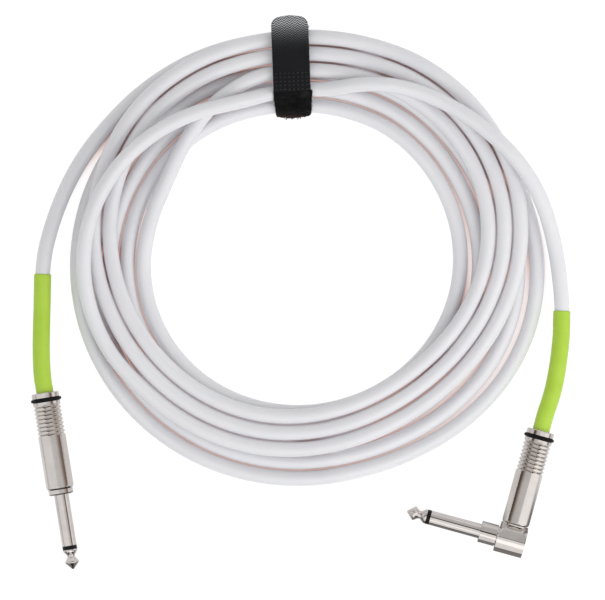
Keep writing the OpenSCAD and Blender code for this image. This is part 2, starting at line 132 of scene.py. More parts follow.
def on_straight(u):
    p = turned((u, 0), STRAIGHT_TURN)
    return Vector((STRAIGHT_AT[0] + p[0], STRAIGHT_AT[1] + p[1], AXIS_Z))


def on_angle(u):
    p = turned((0, u - HEAD_ORIGIN), ANGLE_TURN)
    return Vector((ANGLE_AT[0] + p[0], ANGLE_AT[1] + p[1], AXIS_Z))


# The two end runs: places on the ring, then (x, y) under each sleeve, then along each plug.
ANGLE_OVER = (
    (242, 92.7, 10.5), (250, 94.6, 11.4), (258, 95.9, 13.1), (266, 96.5, 15.2),
    (274, 96.3, 17), (282, 95.3, 17.8), (290, 93.5, 17.9), (298, 91, 17.8),
    (306, 87.9, 17.8), (314, 84.5, 17.9), (322, 81, 18.4), (329, 78, 18.6),
    (335, 75.9, 17.6),
    (341, 74.8, 14.8), (347, 74.8, 12.2), (354, 74.9, 12), (1, 75, 12.1),
    (6, 75.4, 13.2), (11, 77, 15.8), (17, 80.4, 18.4), (25, 84.6, 18.8),
    (34, 88.6, 18.1), (43, 92.2, 17.7), (52, 96, 17.7), (61, 100, 17.6),
    (69, 103.4, 14.8), (77, 106, 11), (86, 108.2, 8.2), (94, 110.6, 7),
)
STRAIGHT_OVER = ((300, 105.8, 3.3), (291, 108.2, 3.8), (282, 110.6, 4.8), (273, 113.4, 6))
ANGLE_SLEEVE = ((113.6, -8), (113.2, -20), (111.8, -32), (109.6, -43))
STRAIGHT_SLEEVE = ((-112.3, 8), (-112.5, -4), (-112.8, -15), (-112.9, -26))
IN_BARREL = (BARREL_REAR - 7, BARREL_REAR, -34, -22)
UNDER_SLEEVE = (BARREL_REAR - 7, BARREL_REAR, -33)


def smooth_line(points, step):
    """Curve through the points, by distance, with a point every step or less."""
    p = [2 * points[0] - points[1]] + list(points) + [2 * points[-1] - points[-2]]
    out = []
    for i in range(1, len(p) - 2):
        a, b, c, d = p[i - 1], p[i], p[i + 1], p[i + 2]
        ta, tb, tc = ((b - a).length ** 0.5, (c - b).length ** 0.5, (d - c).length ** 0.5)
        m1 = (b - a) / ta - (c - a) / (ta + tb) + (c - b) / tb
        m2 = (c - b) / tb - (d - b) / (tb + tc) + (d - c) / tc
        m1, m2 = m1 * tb, m2 * tb
        n = max(1, math.ceil((c - b).length / step))
        for k in range(n):
            t = k / n
            out.append((2 * t**3 - 3 * t**2 + 1) * b + (t**3 - 2 * t**2 + t) * m1
                       + (-2 * t**3 + 3 * t**2) * c + (t**3 - t**2) * m2)
    out.append(points[-1].copy())
    return out


coil = [coil_point(k * 360 / STEPS_A_TURN) for k in range(int(TURNS * STEPS_A_TURN))]
coil.append(coil_point(TURNS * 360))
ring_knots = coil[::2]
if (len(coil) - 1) % 2:
    ring_knots.append(coil[-1])
straight_sleeve_line = [Vector((x, y, AXIS_Z)) for x, y in STRAIGHT_SLEEVE]
angle_sleeve_line = [Vector((x, y, AXIS_Z)) for x, y in ANGLE_SLEEVE]
to_straight = ([place(*p) for p in STRAIGHT_OVER] + straight_sleeve_line
               + [on_straight(u) for u in IN_BARREL])
to_angle = [place(*p) for p in ANGLE_OVER] + angle_sleeve_line + [on_angle(u) for u in IN_BARREL]

# One line from the straight plug through the coil to the angled plug.
knots = to_straight[::-1] + ring_knots + to_angle
clean = [knots[0]]
for p in knots[1:]:
    if (p - clean[-1]).length > CLOSEST:
        clean.append(p)
line = smooth_line(clean, LINE_STEP)


# ---------------------------------------------------------------- helpers
def link(obj):
    scene.collection.objects.link(obj)
    return obj


def mesh_object(name, verts, faces, smooth=True):
    me = bpy.data.meshes.new(name)
    me.from_pydata([tuple(v) for v in verts], [], faces)
    me.validate()
    me.update()
    if smooth:
        for poly in me.polygons:
            poly.use_smooth = True
    return link(bpy.data.objects.new(name, me))


def frames(points):
    """(point, direction, side, top) at each point of a line."""
    out = []
    for i, p in enumerate(points):
        a = points[max(0, i - 1)]
        b = points[min(len(points) - 1, i + 1)]
        d = (b - a).normalized()
        side = UP.cross(d).normalized()
        out.append((p, d, side, d.cross(side)))
    return out


def lathe_along(name, points, rows, sides):
    """Closed skin over (index along the points, radius) rows, which turn back inside.

    A radius is a number or a function of the angle round the line.
    """
    fr = frames(points)
    verts, faces = [], []
    for index, radius in rows:
        i = max(0, min(len(fr) - 1.001, index))
        k = int(i)
        f = i - k
        p = fr[k][0].lerp(fr[k + 1][0], f)
        side = fr[k][2].lerp(fr[k + 1][2], f).normalized()
        top = fr[k][3].lerp(fr[k + 1][3], f).normalized()
        for s in range(sides):
            a = 2 * math.pi * s / sides
            r = radius(a) if callable(radius) else radius
            verts.append((p + r * (math.cos(a) * side + math.sin(a) * top)) * MM)
    n = len(rows)
    for j in range(n):
        for s in range(sides):
            a, b = j * sides + s, j * sides + (s + 1) % sides
            c, d = ((j + 1) % n) * sides + s, ((j + 1) % n) * sides + (s + 1) % sides
            faces.append((a, c, d, b))
    return mesh_object(name, verts, faces)


def tube_faces(first, rings, sides):
    """Sides of a tube whose rings of points start at index first."""
    quads = []
    for j in range(rings - 1):
        for s in range(sides):
            a, b = first + j * sides + s, first + j * sides + (s + 1) % sides
            quads.append((a, b, b + sides, a + sides))
    return quads


def sheet_faces(rows, across):
    """Faces of a sheet: a grid of points on top, the same grid under it, and the four edges."""
    quads = []
    under = rows * across
    for i in range(rows - 1):
        for j in range(across - 1):
            a = i * across + j
            b = a + under
            quads.append((a, a + 1, a + across + 1, a + across))
            quads.append((b, b + across, b + across + 1, b + 1))
    for i in range(rows - 1):
        a = i * across
        quads.append((a, a + across, a + across + under, a + under))
        a += across - 1
        quads.append((a, a + under, a + across + under, a + across))
    for j in range(across - 1):
        a = j
        quads.append((a, a + under, a + 1 + under, a + 1))
        a += (rows - 1) * across
        quads.append((a, a + 1, a + 1 + under, a + under))
    return quads


# ---------------------------------------------------------------- materials
class Nodes:
    """Small builder for a node tree."""

    def __init__(self, tree):
        self.t = tree

    def n(self, kind, **sets):
        node = self.t.nodes.new(kind)
        for key, value in sets.items():
            if key in node.inputs:
                node.inputs[key].default_value = value
            else:
                setattr(node, key, value)
        return node

    def l(self, a, b):
        self.t.links.new(a, b)

    def coords(self, kind="Object"):
        return self.n("ShaderNodeTexCoord").outputs[kind]

    def split(self, vec):
        r = self.n("ShaderNodeSeparateXYZ")
        self.l(vec, r.inputs["Vector"])
        return r.outputs

    def noise(self, vec, scale, detail=4, rough=0.5):
        nd = self.n("ShaderNodeTexNoise", Scale=scale, Detail=detail, Roughness=rough)
        self.l(vec, nd.inputs["Vector"])
        return nd.outputs["Fac"]

    def ramp(self, fac, stops):
        r = self.n("ShaderNodeValToRGB")
        el = r.color_ramp.elements
        while len(el) < len(stops):
            el.new(0.5)
        for e, (pos, col) in zip(el, stops):
            e.position = pos
            e.color = (*col, 1) if hasattr(col, "__len__") else (col, col, col, 1)
        self.l(fac, r.inputs["Fac"])
        return r.outputs["Color"]

    def occlusion(self, distance, samples, stops):
        """One ramp for each list of stops, over how open a spot is: 0 deep in a gap, 1 outside."""
        r = self.n("ShaderNodeAmbientOcclusion", Distance=distance, samples=samples)
        return [self.ramp(r.outputs["AO"], s) for s in stops]

    def rng(self, fac, lo, hi, a=0.0, b=1.0, kind="LINEAR"):
        """From lo to hi while fac goes from a to b."""
        r = self.n("ShaderNodeMapRange", interpolation_type=kind)
        r.inputs["From Min"].default_value = a
        r.inputs["From Max"].default_value = b
        r.inputs["To Min"].default_value = lo
        r.inputs["To Max"].default_value = hi
        self.l(fac, r.inputs["Value"])
        return r.outputs["Result"]

    def math(self, op, a, b=None):
        r = self.n("ShaderNodeMath", operation=op)
        for i, x in enumerate((a, b)):
            if x is None:
                continue
            if isinstance(x, (int, float)):
                r.inputs[i].default_value = x
            else:
                self.l(x, r.inputs[i])
        return r.outputs["Value"]

    def bump(self, height, distance, strength=1.0, normal=None):
        r = self.n("ShaderNodeBump", Distance=distance, Strength=strength)
        self.l(height, r.inputs["Height"])
        if normal is not None:
            self.l(normal, r.inputs["Normal"])
        return r.outputs["Normal"]

    def mix(self, fac, a, b):
        r = self.n("ShaderNodeMix", data_type="RGBA")
        if isinstance(fac, (int, float)):
            r.inputs[0].default_value = fac
        else:
            self.l(fac, r.inputs[0])
        for sock, x in ((r.inputs[6], a), (r.inputs[7], b)):
            if hasattr(x, "node"):
                self.l(x, sock)
            else:
                sock.default_value = (*x, 1)
        return r.outputs[2]


class Mat(Nodes):
    """A node material round the Principled shader."""

    def __init__(self, name):
        self.m = bpy.data.materials.new(name)
        self.m.use_nodes = True
        super().__init__(self.m.node_tree)
        self.b = self.t.nodes["Principled BSDF"]

    def set(self, **k):
        for key, value in k.items():
            key = key.replace("_", " ")
            sock = self.b.inputs[key]
            if hasattr(value, "node"):
                self.l(value, sock)
            elif hasattr(value, "__len__") and len(value) == 3:
                sock.default_value = (*value, 1)
            else:
                sock.default_value = value
        return self.m


def lin(r, g, b):
    """Linear colour from 0-255 sRGB."""
    def f(c):
        c /= 255
        return c / 12.92 if c <= 0.04045 else ((c + 0.055) / 1.055) ** 2.4
    return (f(r), f(g), f(b))


def jacket_material():
    m = Mat("white_jacket")
    v = m.coords()
    big = m.noise(v, 45, 3)
    col = m.mix(m.rng(big, 0, 1, 0.3, 0.7), lin(232.4, 232.5, 235.6), lin(227.4, 227.5, 231.6))
    # Dust and handling: very faint grey flecks.
    fleck = m.ramp(m.noise(v, 900, 2), [(0.72, 0.0), (0.80, 1.0)])
    col = m.mix(m.math("MULTIPLY", fleck, 0.10), col, lin(190, 180, 182))
    # Painted shade: deep between the passes the white is darkened to grey in some stretches and to
    # warm brown in others, brown more often towards the top.
    # Painted light: emission gives the gaps a faint glow, grey or brown with the painted shade,
    # standing in for light passed on by the white plastic, so they never go black.
    narrow_painted_shade, broad_painted_shade, grey_painted_glow, brown_painted_glow = m.occlusion(0.006, 16, (
        [(0.015, 1.0), (0.07, 0.5), (0.20, 0.0)],
        [(0.02, 1.0), (0.12, 0.55), (0.26, 0.0)],
        [(0.01, lin(104, 93, 92)), (0.12, lin(96, 92, 94)), (0.35, 0.0)],
        [(0.01, lin(60, 36, 31)), (0.12, lin(76, 60, 57)), (0.35, 0.0)],
    ))
    # Noise, leaning towards brown near the top, picks which stretches of the painted shade turn
    # brown.
    shade_hue_noise = m.math("ADD", m.noise(v, 26, 2), m.rng(m.split(v)["Y"], -0.07, 0.08, -0.06, 0.10))
    brown_shade_mask = m.rng(shade_hue_noise, 0, 1, 0.47, 0.58)
    col = m.mix(brown_shade_mask, m.mix(narrow_painted_shade, col, lin(196, 188, 189)), m.mix(broad_painted_shade, col, lin(120, 66, 56)))
    # The glow painted into the gaps, grey or brown with the painted shade.
    painted_glow = m.mix(brown_shade_mask, grey_painted_glow, brown_painted_glow)
    fine = m.noise(v, 2600, 3)
    wave = m.noise(v, 130, 2)
    h = m.math("ADD", m.math("MULTIPLY", fine, 0.25), wave)
    rough = m.rng(m.noise(v, 320, 3), 0.20, 0.30)
    m.b.inputs["Subsurface Radius"].default_value = (0.6, 0.35, 0.3)
    return m.set(Base_Color=col, Emission_Color=painted_glow, Emission_Strength=1.0, Roughness=rough,
                 Specular_IOR_Level=0.6, Subsurface_Weight=0.10, Subsurface_Scale=0.002,
                 Normal=m.bump(h, 0.00006, 0.5))


def shrink_material():
    m = Mat("lime_shrink_sleeve")
    v = m.coords()
    col = m.mix(m.rng(m.noise(v, 60, 3), 0, 1, 0.3, 0.7), lin(184, 220, 74), lin(172, 208, 58))
    spots = m.ramp(m.noise(v, 1500, 2), [(0.66, 0.0), (0.8, 1.0)])
    col = m.mix(m.math("MULTIPLY", spots, 0.12), col, lin(140, 170, 50))
    h = m.math("ADD", m.math("MULTIPLY", m.noise(v, 1800, 3), 0.3), m.noise(v, 210, 3))
    rough = m.rng(m.noise(v, 420, 3), 0.36, 0.5)
    return m.set(Base_Color=col, Roughness=rough, Subsurface_Weight=0.06, Subsurface_Scale=0.001,
                 Normal=m.bump(h, 0.00010, 0.6))


# Colour of the dark film in the metal's hollows, also used for painted shade.
FILM_AND_SHADE = lin(40, 33, 30)


def nickel_material(name, rough, at, turn, tint=(210, 204, 200), flat_at=0.0, flat_r=5.6,
                    crown=0.0, flats_from=-1.0, shade_seams=()):
    """Plated metal with fine lines left by turning, in a plug's own lengthwise coordinates.

    Flats stand flat_r mm off the axis at flat_at degrees and every 45 after it, beyond
    flats_from mm along the plug, and crown is the curve, in 1/mm, that polishing has given them.
    Each seam listed is (place along the plug, half width) in mm: a line painted dark as shade.
    """
    m = Mat(name)
    a = -math.radians(turn)
    x, y = -at[0] * MM, -at[1] * MM
    along = m.n("ShaderNodeMapping", Rotation=(0, 0, a),
                Location=(x * math.cos(a) - y * math.sin(a), x * math.sin(a) + y * math.cos(a),
                          -AXIS_Z * MM))
    m.l(m.coords(), along.inputs["Vector"])
    v = along.outputs["Vector"]
    drawn = m.n("ShaderNodeMapping", Scale=(900.0, 12, 12))
    m.l(v, drawn.inputs["Vector"])
    streak = m.noise(drawn.outputs["Vector"], 4.0, 4, 0.6)
    blotch = m.noise(v, 220, 4)
    scuff = m.ramp(m.noise(v, 700, 5, 0.7), [(0.64, 0.0), (0.78, 1.0)])
    col = m.mix(m.rng(blotch, 0, 1, 0.35, 0.65), lin(*tint), lin(*[c - 8 for c in tint]))
    col = m.mix(m.math("MULTIPLY", scuff, 0.15), col, lin(160, 150, 144))
    # Grooves and seams are darkened where they are closed in: partly a dark film, partly painted
    # shade.
    film_and_shade, = m.occlusion(0.001, 12, ([(0.25, 1.0), (0.42, 0.3), (0.6, 0.0)],))
    col = m.mix(film_and_shade, col, FILM_AND_SHADE)
    xyz = m.split(v)
    # Painted shade: a dark line along each listed seam.
    for spot, half in shade_seams:
        off = m.math("ABSOLUTE", m.math("SUBTRACT", xyz["X"], spot * MM))
        col = m.mix(m.rng(off, 0.92, 0, half * 0.4 * MM, half * MM), col, FILM_AND_SHADE)
    r = m.math("ADD", m.rng(streak, rough * 0.8, rough * 1.25, 0.3, 0.7),
               m.math("MULTIPLY", scuff, 0.04))
    h = m.math("ADD", streak, m.math("MULTIPLY", blotch, 0.4))
    normal = m.bump(h, 0.000006, 0.5)
    if crown:
        angle = m.math("ARCTAN2", xyz["Y"], xyz["Z"])
        part = m.math("PINGPONG", m.math("ADD", angle, math.radians(720 - flat_at)), math.pi / 8)
        arc = m.math("MULTIPLY", m.math("TANGENT", part), flat_r * MM)
        drop = m.math("MULTIPLY", m.math("MULTIPLY", arc, arc), -crown * 1000 / 2)
        only = m.math("GREATER_THAN", xyz["X"], flats_from * MM)
        normal = m.bump(m.math("MULTIPLY", drop, only), 1.0, 1.0, normal)
    return m.set(Base_Color=col, Metallic=1.0, Roughness=r, Normal=normal)


def simple_material(name, a, b, rough, scale, bump=0.00004, metallic=0.0, **extra):
    m = Mat(name)
    v = m.coords()
    f = m.noise(v, scale, 4)
    col = m.mix(m.rng(f, 0, 1, 0.35, 0.65), lin(*a), lin(*b))
    fine = m.noise(v, scale * 6, 3)
    r = m.rng(fine, rough * 0.8, rough * 1.2, 0.3, 0.7)
    h = m.math("ADD", f, m.math("MULTIPLY", fine, 0.6))
    return m.set(Base_Color=col, Metallic=metallic, Roughness=r, Normal=m.bump(h, bump, 0.6),
                 **extra)


STRIPE, RIB, YARN = 2.3, 1.05, 0.4  # widths in the weave, mm


def woven_material(name, slope):
    """Herringbone tape: ribs that slope one way and back in each stripe, from its UV map in mm."""
    m = Mat(name)
    uv = m.split(m.n("ShaderNodeUVMap", uv_map="tape").outputs["UV"])
    zig = m.math("PINGPONG", m.math("ADD", uv["X"], 100.0), STRIPE / 2)
    row = m.math("ADD", uv["Y"], m.math("MULTIPLY", zig, math.tan(math.radians(slope))))
    rib = m.math("ABSOLUTE", m.math("SINE", m.math("MULTIPLY", row, math.pi / RIB)))
    thread = m.math("ABSOLUTE", m.math("SINE", m.math("MULTIPLY", uv["X"], math.pi / YARN)))
    v = m.coords()
    fuzz = m.noise(v, 2400, 4)
    uneven = m.noise(v, 900, 3)
    weave = m.math("MULTIPLY", rib, m.math("ADD", m.math("MULTIPLY", thread, 0.35), 0.65))
    h = m.math("ADD", weave, m.math("MULTIPLY", m.math("ADD", fuzz, uneven), 0.25))
    patch = m.noise(v, 90, 3)
    col = m.mix(m.rng(weave, 0, 1, 0.38, 0.72), lin(2, 2, 3), lin(35, 36, 39))
    col = m.mix(m.math("MULTIPLY", m.rng(patch, 0, 1, 0.4, 0.7), 0.4), col, lin(9, 9, 10))
    # Painted highlight: towards its free end, where the tape bends over the edge of the bundle, the
    # ribs are painted pale as if they catch the light.
    highlight_fade = m.math("POWER", m.rng(uv["Y"], 0, 1, 4.0, 21.0), 4.5)
    painted_highlight = m.math("MULTIPLY", highlight_fade, m.rng(weave, 0, 0.95, 0.46, 0.76))
    # Pale ribs painted in as the highlight at the bent end.
    col = m.mix(painted_highlight, col, lin(209, 213, 216))
    return m.set(Base_Color=col, Roughness=m.rng(weave, 0.7, 0.5), Specular_IOR_Level=0.15,
                 Sheen_Weight=0.02, Sheen_Roughness=0.3, Normal=m.bump(h, 0.00022, 0.9))


FRINGE_Y = 0.0784  # where the fringe at the strap's near edge begins, in metres


def pile_material():
    m = Mat("loop_pile")
    v = m.coords()
    f = m.noise(v, 1500, 5, 0.7)
    g = m.noise(v, 260, 4)
    col = m.mix(m.rng(f, 0, 1, 0.35, 0.75), lin(12, 12, 13), lin(38, 37, 38))
    col = m.mix(m.math("MULTIPLY", m.rng(g, 0, 1, 0.45, 0.7), 0.55), col, lin(56, 53, 53))
    # The fringe is fluffed paler, and light comes through its tips and browns them.
    y = m.split(v)["Y"]
    fluffed = m.rng(y, 1, 0, FRINGE_Y - 0.0006, FRINGE_Y + 0.0018)
    col = m.mix(m.math("MULTIPLY", fluffed, m.rng(f, 0, 0.75, 0.47, 0.60)), col, lin(84, 80, 80))
    col = m.mix(m.rng(y, 0.85, 0, FRINGE_Y - 0.002, FRINGE_Y - 0.0012), col, lin(86, 64, 58))
    return m.set(Base_Color=col, Roughness=0.9, Specular_IOR_Level=0.08, Sheen_Weight=0.03,
                 Sheen_Roughness=0.6, Normal=m.bump(f, 0.0004, 1.0))


def screen_material():
    """Twisted bare strands."""
    m = Mat("twisted_screen")
    v = m.coords()
    w = m.n("ShaderNodeTexWave", wave_type="BANDS", bands_direction="DIAGONAL", Scale=900,
            Distortion=1.5)
    m.l(v, w.inputs["Vector"])
    col = m.mix(w.outputs["Fac"], lin(150, 88, 60), lin(214, 146, 108))
    return m.set(Base_Color=col, Metallic=1.0, Roughness=m.rng(m.noise(v, 900, 3), 0.25, 0.4),
                 Normal=m.bump(w.outputs["Fac"], 0.00015, 0.9))


JACKET = jacket_material()
SHRINK = shrink_material()
BARREL_TURN = ANGLE_TURN + 90
ANGLE_ZERO = tuple(ANGLE_AT[i] - turned((HEAD_ORIGIN, 0), BARREL_TURN)[i] for i in (0, 1))
BARREL_FLATS_FROM = -39.65
# Facets of an eight-sided bar with a corner on top lie 22.5 degrees off the vertical, and both
# barrels are rolled 7.5 degrees from there.
FACET, ROLL = 22.5, 7.5
STRAIGHT_LINE = (STRAIGHT_AT, STRAIGHT_TURN)
HEAD_LINE = (ANGLE_AT, ANGLE_TURN)
BARREL_LINE = (ANGLE_ZERO, BARREL_TURN)
SHAFT_TINT = (213, 207, 204)
NICKEL = {
    "straight_body": nickel_material("nickel_straight_body", 0.06, *STRAIGHT_LINE,
                                     flat_at=FACET - ROLL, crown=0.07, flat_r=5.0, flats_from=-2.5,
                                     shade_seams=((-2.45, 0.25), (-0.3, 0.4))),
    "straight_barrel": nickel_material("nickel_straight_barrel", 0.075, *STRAIGHT_LINE,
                                       flat_at=FACET - ROLL, crown=0.08,
                                       flats_from=BARREL_FLATS_FROM, shade_seams=((-2.7, 0.45),)),
    "straight_shaft": nickel_material("nickel_straight_shaft", 0.05, *STRAIGHT_LINE, SHAFT_TINT),
    "angle_head": nickel_material("nickel_angle_head", 0.06, *HEAD_LINE,
                                  flat_at=FACET, crown=0.1, flats_from=-20),
    "angle_barrel": nickel_material("nickel_angle_barrel", 0.075, *BARREL_LINE,
                                    flat_at=FACET + ROLL, crown=0.08,
                                    flats_from=BARREL_FLATS_FROM),
    "angle_shaft": nickel_material("nickel_angle_shaft", 0.05, *HEAD_LINE, SHAFT_TINT),
}
BLACK = simple_material("black_insulator", (9, 9, 10), (20, 20, 21), 0.4, 900,
                        Specular_IOR_Level=0.2)
RUBBER = simple_material("o_ring_rubber", (8, 8, 9), (20, 19, 20), 0.6, 1200, 0.00006,
                         Specular_IOR_Level=0.15)
FIBRE = simple_material("pressed_fibre", (150, 108, 70), (120, 84, 54), 0.7, 1600, 0.0001)
LUG = simple_material("tinned_lug", (205, 196, 176), (176, 160, 128), 0.3, 1100, 0.00003, 1.0)
CORE = simple_material("core_insulation", (186, 34, 30), (160, 26, 26), 0.4, 800)
LINER = simple_material("liner_tube", (206, 170, 112), (182, 142, 84), 0.35, 600, 0.00003,
                        Transmission_Weight=0.25)
SCREEN = screen_material()
WOVEN = woven_material("woven_tape", 45)
WOVEN_EDGE = woven_material("woven_selvage", 0)
PILE = pile_material()
HOOKS = simple_material("hook_tape", (16, 16, 18), (40, 40, 44), 0.6, 1400, 0.0002)
THREAD = simple_material("black_thread", (28, 28, 30), (52, 50, 54), 0.6, 2600, 0.0001)


def dress(node, material, bevel=0.0):
    """Better material on a CAD node, and softly broken edges bevel mm wide."""
    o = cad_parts[node]
    me = o.data
    if len(me.materials) == 0:
        me.materials.append(material)
    for i in range(len(me.materials)):
        me.materials[i] = material
    for s in o.material_slots:
        s.material = material
    if bevel:
        mod = o.modifiers.new("edges", "BEVEL")
        mod.width = bevel * MM
        mod.segments = 2
        mod.limit_method = "ANGLE"
        mod.angle_limit = math.radians(28)
        mod.harden_normals = True


for who in ("straight", "angle"):
    dress(who + "_barrel", NICKEL[who + "_barrel"], 0.12)
    dress(who + "_sleeve_contact", NICKEL[who + "_shaft"], 0.06)
    dress(who + "_tip_contact", NICKEL[who + "_shaft"])
    dress(who + "_insulator", BLACK, 0.05)
    dress(who + "_o_ring", RUBBER)
    dress(who + "_rear_washer", FIBRE, 0.05)
    dress(who + "_tip_lug", LUG, 0.05)
    dress(who + "_ground_lug", LUG, 0.05)
    dress(who + "_core_wire", CORE)
    dress(who + "_screen_tail", SCREEN)
    dress(who + "_insulating_tube", LINER, 0.05)
dress("straight_plug_body", NICKEL["straight_body"], 0.12)
dress("angle_elbow_head", NICKEL["angle_head"], 0.14)
dress("angle_head_plug", NICKEL["angle_head"], 0.06)

# ---------------------------------------------------------------- the cable
curve = bpy.data.curves.new("cable", "CURVE")
curve.dimensions = "3D"
curve.bevel_depth = WIRE_R * MM
curve.bevel_resolution = 10
curve.use_fill_caps = True
curve.twist_mode = "Z_UP"
spline = curve.splines.new("POLY")
spline.points.add(len(line) - 1)
for pt, p in zip(spline.points, line):
    pt.co = (p.x * MM, p.y * MM, p.z * MM, 1)
spline.use_smooth = True
curve.materials.append(JACKET)
cable = link(bpy.data.objects.new("cable", curve))
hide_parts("cable_coil", "cable_lead_straight", "cable_lead_angle")
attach(cable, "cable")


# ---------------------------------------------------------------- heat-shrink sleeves
SLEEVE_STEP = 1.2
SLEEVE_R, SLEEVE_BORE_R, LIP_R = 3.76, 3.3, 3.36
SLEEVE_SIDES = 48


def shrink(name, node, points):
    """Shrunk sleeve: rolled ends, slight waves in its wall, open over the jacket."""
    pts = smooth_line(points, SLEEVE_STEP)
    n = len(pts) - 1
    phase = random.Random(len(name)).random() * 6

    def wall(i, base):
        def r(a):
            w = noise.noise(Vector((math.cos(a) * 1.3 + phase, math.sin(a) * 1.3, i * 0.16)))
            ripple = 0.035 * math.sin(i * 0.9 + phase) * math.exp(-min(i, n - i) / 6)
            return base + 0.07 * w + ripple
        return r
    rows = [(0.0, wall(0, LIP_R)), (0.05, wall(0, 3.6)), (0.35, wall(0.3, 3.74)),
            (0.8, wall(0.8, 3.79))]
    rows += [(float(i), wall(i, SLEEVE_R)) for i in range(2, n - 1)]
    rows += [(n - 0.9, wall(n, SLEEVE_R)), (n - 0.3, wall(n, 3.7)), (n - 0.01, wall(n, LIP_R))]
    rows += [(float(i), SLEEVE_BORE_R) for i in range(n - 2, 1, -6)]
    o = lathe_along(name, pts, rows, SLEEVE_SIDES)
    o.data.materials.append(SHRINK)
    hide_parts(node)
    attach(o, "cable")
    return o


straight_shrink_piece = shrink("straight_sleeve_tube", "straight_heat_shrink",
                               straight_sleeve_line + [on_straight(u) for u in UNDER_SLEEVE])
angle_shrink_piece = shrink("angle_sleeve_tube", "angle_heat_shrink",
                            angle_sleeve_line + [on_angle(u) for u in UNDER_SLEEVE])

# ---------------------------------------------------------------- strap
# In mm from STRAP_AT: x is across the strap, y is outward over the bundle, z is up.
STRAP_AT, STRAP_LEAN = (-3.8, 95.8), 2.1
BAND_GAP, BAND_T = 0.55, 1.0
LOW_Z = WIRE_R + BAND_GAP + BAND_T
HIGH_Z = LOW_Z + RISE
BAND_TOP = HIGH_Z + WIRE_R + BAND_GAP + BAND_T
TOP_FROM, TOP_TO = -8.4, 15.2  # the band's flat top
CENTRES = ((-14.4, LOW_Z), (15.0, LOW_Z), (TOP_TO, HIGH_Z), (TOP_FROM, HIGH_Z))
WIDTH = 16.0
SHIFT = -0.35  # the tape lies this far to one side on the band


def strap_world(x, y, z):
    p = turned((x, y), STRAP_LEAN)
    return Vector((STRAP_AT[0] + p[0], STRAP_AT[1] + p[1], z)) * MM


def rounded_loop(r, step):
    """Outline round the four centres, anticlockwise, as (y, z, outward y, outward z)."""
    out = []
    n = len(CENTRES)
    for i in range(n):
        c0, c1, c2 = CENTRES[i - 1], CENTRES[i], CENTRES[(i + 1) % n]
        a0 = math.atan2(c1[1] - c0[1], c1[0] - c0[0]) - math.pi / 2
        a1 = math.atan2(c2[1] - c1[1], c2[0] - c1[0]) - math.pi / 2
        while a1 < a0:
            a1 += 2 * math.pi
        k = max(3, math.ceil((a1 - a0) * r / step))
        for j in range(k + 1):
            a = a0 + (a1 - a0) * j / k
            out.append((c1[0] + r * math.cos(a), c1[1] + r * math.sin(a), math.cos(a), math.sin(a)))
        run = math.hypot(c2[0] - c1[0], c2[1] - c1[1])
        m = max(1, round(run / step))
        for j in range(1, m):
            f = j / m
            y = c1[0] + (c2[0] - c1[0]) * f + r * math.cos(a1)
            z = c1[1] + (c2[1] - c1[1]) * f + r * math.sin(a1)
            out.append((y, z, math.cos(a1), math.sin(a1)))
    return out


# The band: a backing with ragged edges, then its pile as a mat of small loops.
R_IN = WIRE_R + BAND_GAP
BACK_OUT = 0.55  # the backing's thickness out from R_IN
BACK_EDGE = 0.25  # the backing stops this far short of the pile's edge
CORNER_FROM, CORNER_LONG, CORNER_IN = -16.6, 2.15, 0.9
outer = rounded_loop(R_IN + BACK_OUT, 0.5)
cols = 33


def band_half(y, z):
    """Half the pile's width.

    It is brushed wider where the tape ends on it, and rubbed off its near corners.
    """
    worn_off = CORNER_IN * (max(0, CORNER_FROM - y) / CORNER_LONG) ** 2
    if y > TOP_FROM or z < LOW_Z + 3:
        return WIDTH / 2 - worn_off
    return WIDTH / 2 + 0.75 * min(1, max(0, (y + 17) / 8)) - worn_off


verts, faces = [], []
for k, (y, z, ny, nz) in enumerate(outer):
    for j in range(cols):
        f = j / (cols - 1) * 2 - 1
        ragged = 0.22 * noise.noise(Vector((k * 0.35, f * 3, 4.0)))
        x = f * (band_half(y, z) - BACK_EDGE + ragged)
        h = 0.10 * noise.noise(Vector((k * 0.5, j * 0.5, 1.0))) - 0.3 * f ** 4 * max(0, -ny)
        verts.append(strap_world(x, y + ny * h, z + nz * h))
m = len(outer)
for k in range(m):
    for j in range(cols - 1):
        a, b = k * cols + j, ((k + 1) % m) * cols + j
        faces.append((a, a + 1, b + 1, b))
base = len(verts)
for y, z, ny, nz in outer:
    for f in (-1, 1):
        verts.append(strap_world(f * (WIDTH / 2 - BACK_EDGE), y - ny * 0.45, z - nz * 0.45))
for k in range(m):
    a, b = base + 2 * k, base + 2 * ((k + 1) % m)
    faces.append((a, b, b + 1, a + 1))
    faces.append((k * cols, ((k + 1) % m) * cols, b, a))
    faces.append((k * cols + cols - 1, a + 1, b + 1, ((k + 1) % m) * cols + cols - 1))

